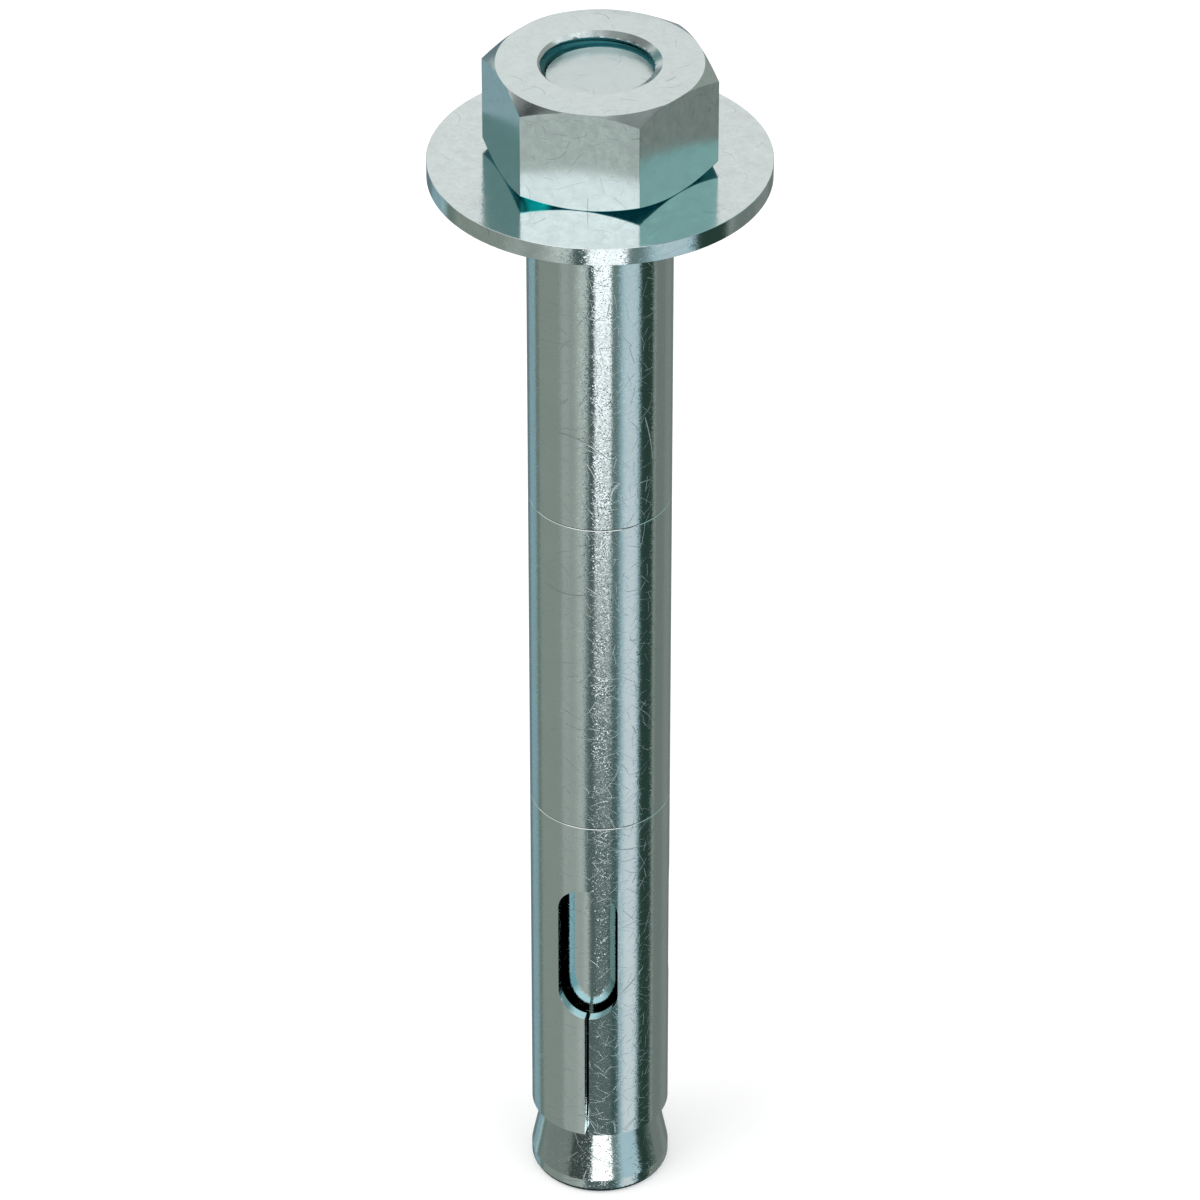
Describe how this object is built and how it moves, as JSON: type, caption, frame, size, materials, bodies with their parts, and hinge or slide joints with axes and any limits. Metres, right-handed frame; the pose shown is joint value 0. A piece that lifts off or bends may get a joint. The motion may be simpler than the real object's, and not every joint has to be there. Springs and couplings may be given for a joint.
{
  "type": "sleeve anchor",
  "caption": "Expansion anchor for masonry: a threaded stud with an integral cone, slotted expansion sleeve, spacer sleeves, flat washer and hexagon nut.",
  "frame": {"origin": "centre of the flat end of the stud's cone, on which the anchor stands", "axes": "+Z along the stud from the cone towards the nut; -Y faces one window of the expansion sleeve and one flat of the nut"},
  "size_m": [0.0218, 0.0218, 0.0872],
  "materials": {
    "zinc_stud": "bright zinc plate over turned steel",
    "zinc_sleeve": "bright zinc plate over rolled steel",
    "zinc_washer": "bright zinc plate over stamped steel",
    "zinc_nut": "bright zinc plate over cold-formed steel"
  },
  "bodies": {
    "stud": {"expander_stud": "zinc_stud"},
    "expansion_sleeve": {"expansion_sleeve": "zinc_sleeve"},
    "middle_spacer": {"middle_spacer": "zinc_sleeve"},
    "upper_spacer": {"upper_spacer": "zinc_sleeve"},
    "washer": {"washer": "zinc_washer"},
    "nut": {"hex_nut": "zinc_nut"}
  },
  "joints": [
    {"name": "expansion_sleeve_turn", "type": "hinge", "parent": "stud", "child": "expansion_sleeve", "pos_m": [0, 0, 0.018], "axis": [0, 0, 1], "continuous": true},
    {"name": "middle_spacer_turn", "type": "hinge", "parent": "stud", "child": "middle_spacer", "pos_m": [0, 0, 0.043], "axis": [0, 0, 1], "continuous": true},
    {"name": "upper_spacer_turn", "type": "hinge", "parent": "stud", "child": "upper_spacer", "pos_m": [0, 0, 0.067], "axis": [0, 0, 1], "continuous": true},
    {"name": "washer_lift", "type": "slide", "parent": "stud", "child": "washer", "axis": [0, 0, 1], "range_m": [0, 0.005]},
    {"name": "nut_turn", "type": "hinge", "parent": "washer", "child": "nut", "pos_m": [0, 0, 0.0835], "axis": [0, 0, 1], "range_deg": [0, 1440]}
  ],
  "couplings": [
    {"joint": "washer_lift", "follows": "nut_turn", "m_per_rad": 0.00019894}
  ]
}
